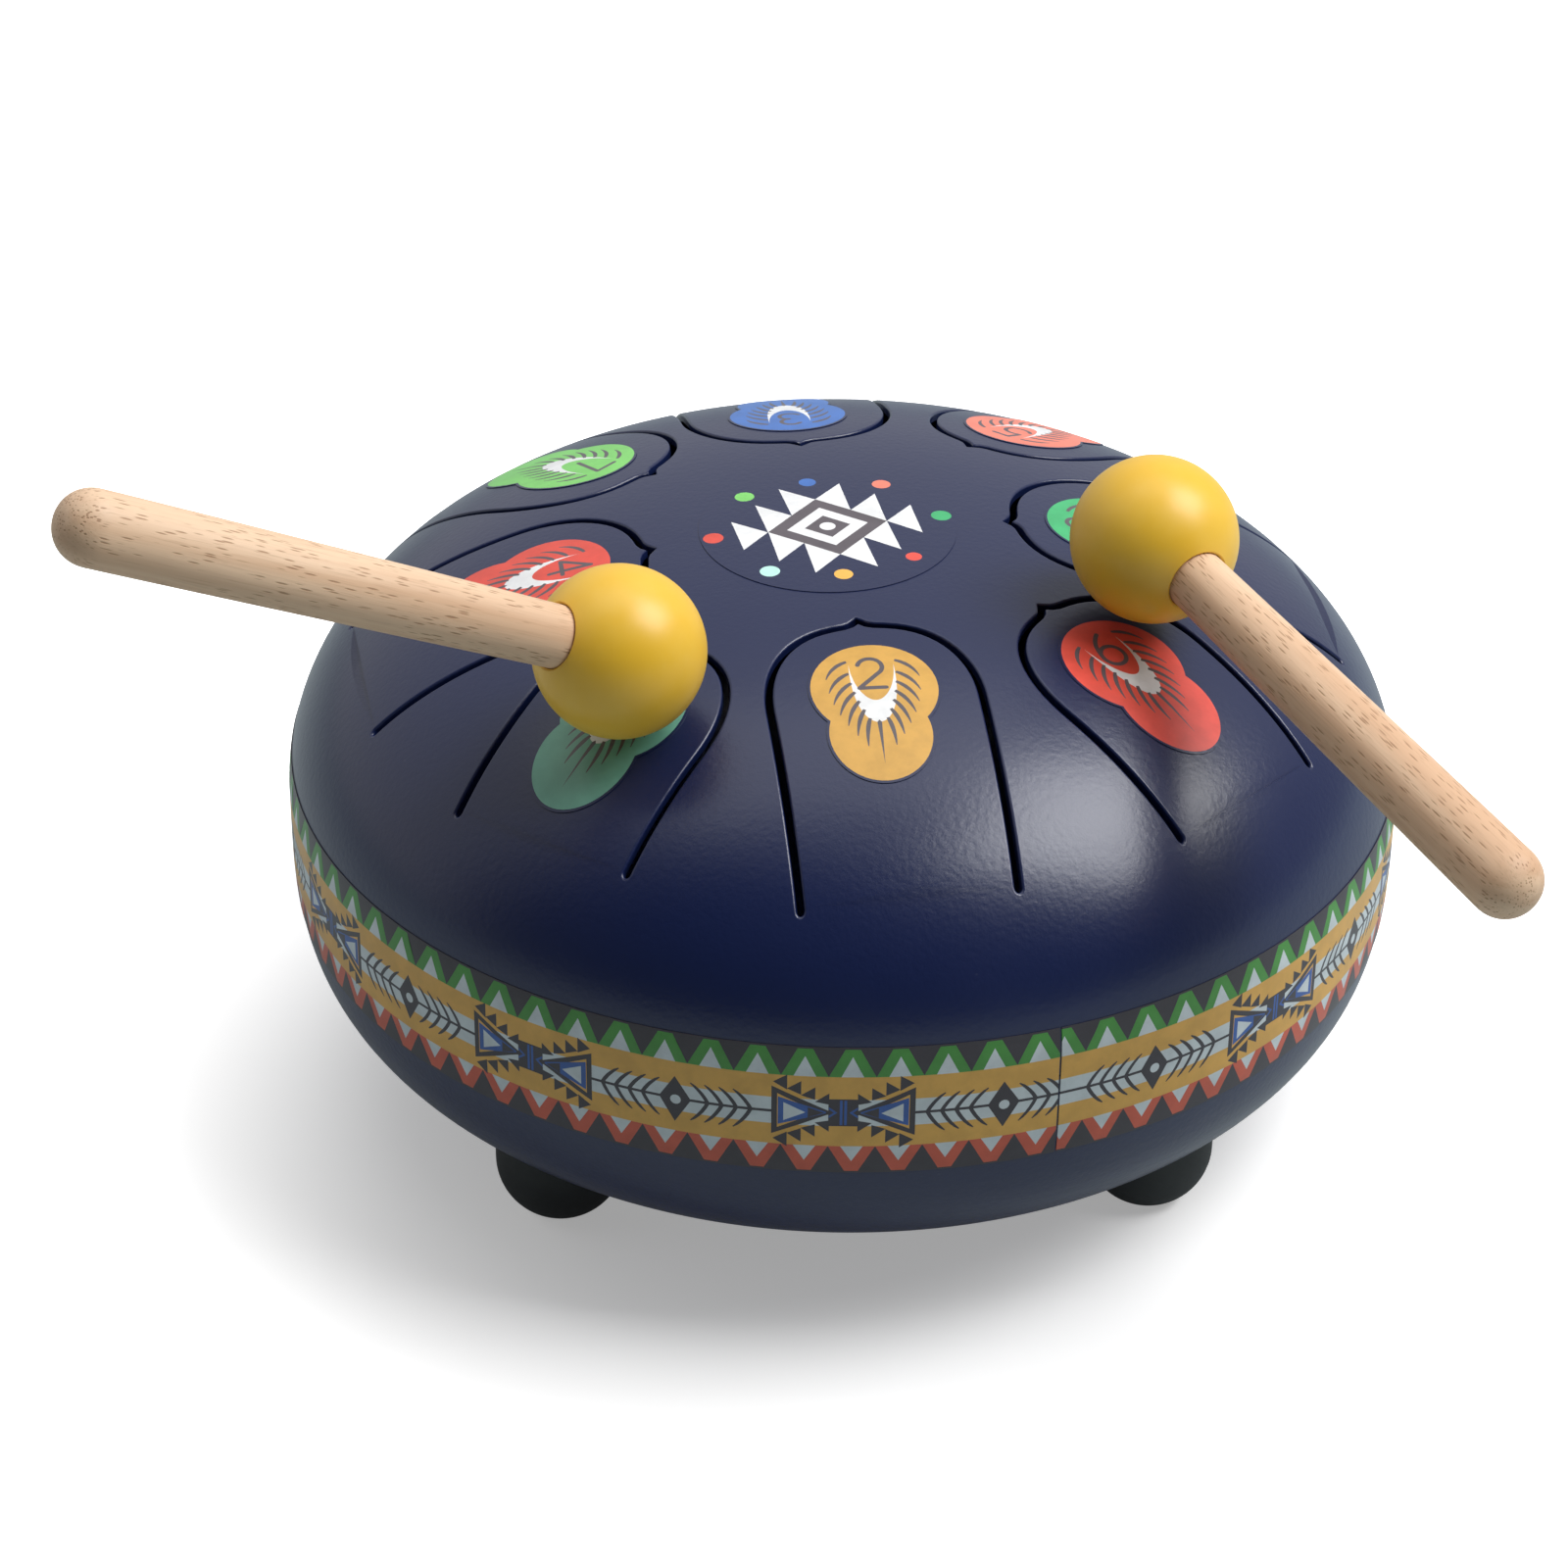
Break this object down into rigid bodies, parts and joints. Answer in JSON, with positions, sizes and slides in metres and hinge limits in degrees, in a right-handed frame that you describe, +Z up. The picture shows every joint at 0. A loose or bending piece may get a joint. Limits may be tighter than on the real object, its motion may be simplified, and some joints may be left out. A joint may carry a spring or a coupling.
{
  "type": "steel tongue drum",
  "caption": "Small steel tongue drum of two welded shells with sprung tongues cut in the upper shell, printed stickers, rubber feet and a pair of ball mallets.",
  "frame": {"origin": "on the floor, under the middle of the whole object's box, mallets included; the drum's own axis stands 3.9 mm towards +X and 5.24 mm towards +Y of it", "axes": "+Z up along the drum's axis; -Y is the front, where tongue 2 lies; the mallets reach out to both sides, along X"},
  "size_m": [0.1772, 0.1654, 0.1287],
  "materials": {
    "shell_coat": "satin navy powder coat with a fine orange-peel texture",
    "bare_steel": "bare rolled strip",
    "centre_film": "printed clear film",
    "band_film": "printed film with a geometric border",
    "foot_rubber": "matte black moulded",
    "screw_zinc": "zinc plated",
    "head_rubber": "satin yellow moulded",
    "beech": "sanded beech with short dark flecks",
    "film_1": "printed mint film",
    "film_2": "printed ochre film",
    "film_3": "printed blue film",
    "film_4": "printed red-orange film",
    "film_5": "printed salmon film",
    "film_6": "printed red film",
    "film_7": "printed light green film",
    "film_8": "printed green film"
  },
  "bodies": {
    "drum": {"upper_shell": "shell_coat", "lower_shell": "shell_coat", "rim_ring": "bare_steel", "centre_sticker": "centre_film", "band_sticker": "band_film", "foot_1": "foot_rubber", "foot_screw_1": "screw_zinc", "foot_2": "foot_rubber", "foot_screw_2": "screw_zinc", "foot_3": "foot_rubber", "foot_screw_3": "screw_zinc", "foot_4": "foot_rubber", "foot_screw_4": "screw_zinc"},
    "tongue_1": {"tongue_1": "shell_coat", "tongue_sticker_1": "film_1"},
    "tongue_2": {"tongue_2": "shell_coat", "tongue_sticker_2": "film_2"},
    "tongue_3": {"tongue_3": "shell_coat", "tongue_sticker_3": "film_3"},
    "tongue_4": {"tongue_4": "shell_coat", "tongue_sticker_4": "film_4"},
    "tongue_5": {"tongue_5": "shell_coat", "tongue_sticker_5": "film_5"},
    "tongue_6": {"tongue_6": "shell_coat", "tongue_sticker_6": "film_6"},
    "tongue_7": {"tongue_7": "shell_coat", "tongue_sticker_7": "film_7"},
    "tongue_8": {"tongue_8": "shell_coat", "tongue_sticker_8": "film_8"},
    "mallet_left": {"mallet_left_head": "head_rubber", "mallet_left_stick": "beech"},
    "mallet_right": {"mallet_right_head": "head_rubber", "mallet_right_stick": "beech"}
  },
  "joints": [
    {"name": "tongue_1_flex", "type": "hinge", "parent": "drum", "child": "tongue_1", "pos_m": [-0.03433, -0.04929, 0.06611], "axis": [0.8348, -0.5505, 0], "range_deg": [-0.4, 0.4], "stiffness_Nm_per_rad": 2},
    {"name": "tongue_2_flex", "type": "hinge", "parent": "drum", "child": "tongue_2", "pos_m": [0.01273, -0.06077, 0.06611], "axis": [0.9851, 0.1719, 0], "range_deg": [-0.4, 0.4], "stiffness_Nm_per_rad": 2},
    {"name": "tongue_3_flex", "type": "hinge", "parent": "drum", "child": "tongue_3", "pos_m": [-0.0089, 0.0706, 0.06611], "axis": [-0.9882, -0.153, 0], "range_deg": [-0.4, 0.4], "stiffness_Nm_per_rad": 2},
    {"name": "tongue_4_flex", "type": "hinge", "parent": "drum", "child": "tongue_4", "pos_m": [-0.0613, -0.00834, 0.06611], "axis": [0.2045, -0.9789, 0], "range_deg": [-0.4, 0.4], "stiffness_Nm_per_rad": 2},
    {"name": "tongue_5_flex", "type": "hinge", "parent": "drum", "child": "tongue_5", "pos_m": [0.04028, 0.06103, 0.06611], "axis": [-0.8221, 0.5693, 0], "range_deg": [-0.4, 0.4], "stiffness_Nm_per_rad": 2},
    {"name": "tongue_6_flex", "type": "hinge", "parent": "drum", "child": "tongue_6", "pos_m": [0.05652, -0.03558, 0.06611], "axis": [0.6494, 0.7604, 0], "range_deg": [-0.4, 0.4], "stiffness_Nm_per_rad": 2},
    {"name": "tongue_7_flex", "type": "hinge", "parent": "drum", "child": "tongue_7", "pos_m": [-0.05077, 0.04327, 0.06611], "axis": [-0.5948, -0.8039, 0], "range_deg": [-0.4, 0.4], "stiffness_Nm_per_rad": 2},
    {"name": "tongue_8_flex", "type": "hinge", "parent": "drum", "child": "tongue_8", "pos_m": [0.06966, 0.01581, 0.06611], "axis": [-0.1599, 0.9871, 0], "range_deg": [-0.4, 0.4], "stiffness_Nm_per_rad": 2},
    {"name": "mallet_left_lift", "type": "slide", "parent": "drum", "child": "mallet_left", "axis": [0, 0, 1], "range_m": [0, 0.08]},
    {"name": "mallet_right_lift", "type": "slide", "parent": "drum", "child": "mallet_right", "axis": [0, 0, 1], "range_m": [0, 0.08]}
  ]
}
